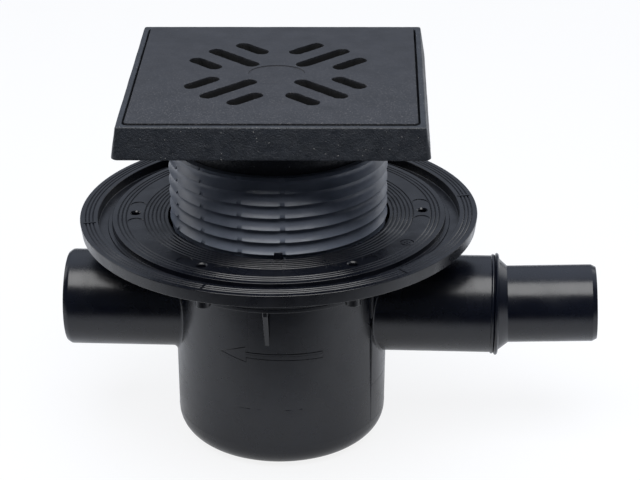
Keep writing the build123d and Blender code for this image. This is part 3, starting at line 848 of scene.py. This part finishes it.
c = casting
sides = []
for k in range(1, 8):
    t = k / 8
    sides.append((c["baseHalf"] + (c["topHalf"] - c["baseHalf"]) * t, c["base"] + (c["top"] - c["base"]) * t,
                  0, c["corner"] + (c["topCorner"] - c["corner"]) * t))
profile = rounded(
    [(c["baseHalf"], c["base"], 0.7, c["corner"])] + sides
    + [(c["topHalf"], c["top"], 0.8, c["topCorner"]), (c["pocketHalf"], c["top"], 0.35, c["pocketCorner"]),
       (c["pocketHalf"], c["ledge"], 0.5, c["pocketCorner"]), (c["funnelHalf"], c["ledge"], 0.8, c["funnelCorner"]),
       (c["collarBore"], c["funnelFoot"], 1.5, c["collarBore"]),
       (c["collarBore"], c["collarFoot"], 0.5, c["collarBore"]), (c["collar"], c["collarFoot"], 0.5, c["collar"]),
       (c["collar"], c["base"], 0.4, c["collar"]), (c["recessIn"], c["base"], 0.5, c["recessIn"]),
       (c["recessIn"], c["recess"], 0.5, c["recessIn"]), (c["recessHalf"], c["recess"], 0.5, c["corner"]),
       (c["recessHalf"], c["base"], 0.5, c["corner"])])
castFrame = squareStack("castFrame", profile, c["turn"], c["wobble"])
finished(castFrame, skins["frameIron"], "cover", "frame")

lattice = {
    "half": 69.8, "corner": 2.6, "top": 198.23, "thick": 7.0, "recess": 2.0, "band": 7.5, "edge": 0.45,
    "slot": 7.5, "longFrom": 18.5, "longTo": 45.9, "shortAlong": 35.8, "shortAside": 16.0, "shortSpan": 13.8,
    "oval": (28.0, 22.5), "ovalDepth": 0.4, "rib": 5.0, "ribLow": 189.23, "ribLength": 98.0, "rag": 0.34,
}


def slotOutline(middle, span, direction, seed):
    # long round-ended slot with a slightly ragged cast rim
    r = lattice["slot"] / 2
    points = []
    for end in (1, -1):
        for k in range(15):
            a = pi * k / 14 - pi / 2
            points.append((end * (span / 2 + r * cos(a)), end * r * sin(a)))
        for k in range(1, int(span / 0.9)):
            points.append((end * (span / 2 - span * k / int(span / 0.9)), end * r))
    ragged = []
    for x, y in points:
        rag = noise.noise(Vector((x / 1.5, y / 1.5, seed))) * lattice["rag"]
        rag += noise.noise(Vector((x / 4, y / 4, seed + 5))) * lattice["rag"]
        long = hypot(x, y)
        x, y = turned(x * (1 + rag / long), y * (1 + rag / max(2.5, abs(y)) * 0.6), direction)
        ragged.append((middle[0] + x, middle[1] + y))
    return ragged


def castPlate(name, outer, holes, low, high, edge):
    # flat plate with holes and softly rounded rims, drawn as a filled curve
    curve = bpy.data.curves.new(name, "CURVE")
    curve.dimensions = "2D"
    curve.fill_mode = "BOTH"
    curve.extrude = ((high - low) / 2 - edge) * mm
    curve.bevel_depth = edge * mm
    curve.bevel_resolution = 1
    curve.offset = -edge * mm
    for outline in (outer, *holes):
        spline = curve.splines.new("POLY")
        spline.points.add(len(outline) - 1)
        for point, (x, y) in zip(spline.points, outline):
            point.co = (x * mm, y * mm, 0, 1)
        spline.use_cyclic_u = True
    drawn = bpy.data.objects.new(name, curve)
    scene.collection.objects.link(drawn)
    bpy.context.view_layer.update()
    mesh = bpy.data.meshes.new_from_object(drawn.evaluated_get(bpy.context.evaluated_depsgraph_get()))
    bpy.data.objects.remove(drawn)
    skin = bmesh.new()
    skin.from_mesh(mesh)
    bmesh.ops.remove_doubles(skin, verts=skin.verts, dist=1e-7)
    bmesh.ops.translate(skin, verts=skin.verts, vec=(0, 0, (low + high) / 2 * mm))
    bmesh.ops.recalc_face_normals(skin, faces=skin.faces)
    skin.to_mesh(mesh)
    skin.free()
    piece = bpy.data.objects.new(name, mesh)
    scene.collection.objects.link(piece)
    return piece


g = lattice
outer = []
for a in squareAngles():
    reach = squareReach(g["half"], g["corner"], a)
    rag = noise.noise(Vector((cos(a) * 14, sin(a) * 14, 2.5))) * 0.08 - 0.08
    outer.append(turned((reach + rag) * cos(a), (reach + rag) * sin(a), c["turn"]))
holes = []
for quadrant in range(4):
    direction = 45 + 90 * quadrant + c["turn"]
    middle = turned((g["longFrom"] + g["longTo"]) / 2, 0, direction)
    holes.append(slotOutline(middle, g["longTo"] - g["longFrom"], direction, quadrant * 3.1)[::-1])
    for side in (-1, 1):
        middle = turned(g["shortAlong"], side * g["shortAside"], direction)
        holes.append(slotOutline(middle, g["shortSpan"], direction, quadrant * 3.1 + side)[::-1])
topLow = g["top"] - g["thick"] + g["recess"]
grate = castPlate("grate", outer, holes, topLow, g["top"], g["edge"])
rows = []
for a in roundAngles(72):
    outline = rounded([(0, -g["ovalDepth"], 0), (1, -g["ovalDepth"], 0), (1.014, 0.05, 0), (1.014, 1, 0),
                       (0, 1, 0)])
    rows.append([(*turned(r * cos(a) * g["oval"][0] / 2, r * sin(a) * g["oval"][1] / 2, c["turn"]), g["top"] + z)
                 for r, z in outline])
combine(grate, gridSkin("ovalCutter", rows))
bandInner = []
for a in squareAngles():
    reach = squareReach(g["half"] - g["band"], c["funnelCorner"], a)
    bandInner.append(turned(reach * cos(a), reach * sin(a), c["turn"]))
grateBand = castPlate("grateBand", outer, [bandInner[::-1]], g["top"] - g["thick"], topLow + 0.3, 0.25)
ribs = []
for turn in (0, 90):
    outline = []
    for x, y in ((-1, -1), (1, -1), (1, 1), (-1, 1)):
        outline.append(turned(x * g["ribLength"] / 2, y * g["rib"] / 2, turn + c["turn"]))
    ribs.append(loft("rib", [[(x, y, z) for x, y in outline] for z in (g["ribLow"], topLow + 0.3)]))
combine(ribs[0], ribs[1], "UNION")
grateRibs = ribs[0]
grateRibs.name = "grateRibs"
for piece in (grate, grateBand, grateRibs):
    finished(piece, skins["grateIron"], "cover", "grate")
print("frame and grate made")


# hidden pieces keep their own solids
inside = {"lip_seal": "sealRubber", "sleeve_seal": "sealRubber", "trap_sleeve": "whitePlastic"}
for name, finish in inside.items():
    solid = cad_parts[name]
    if not solid.material_slots:
        solid.data.materials.append(skins[finish])
    for materialSlot in solid.material_slots:
        materialSlot.material = skins[finish]
print("seals and sleeve dressed")
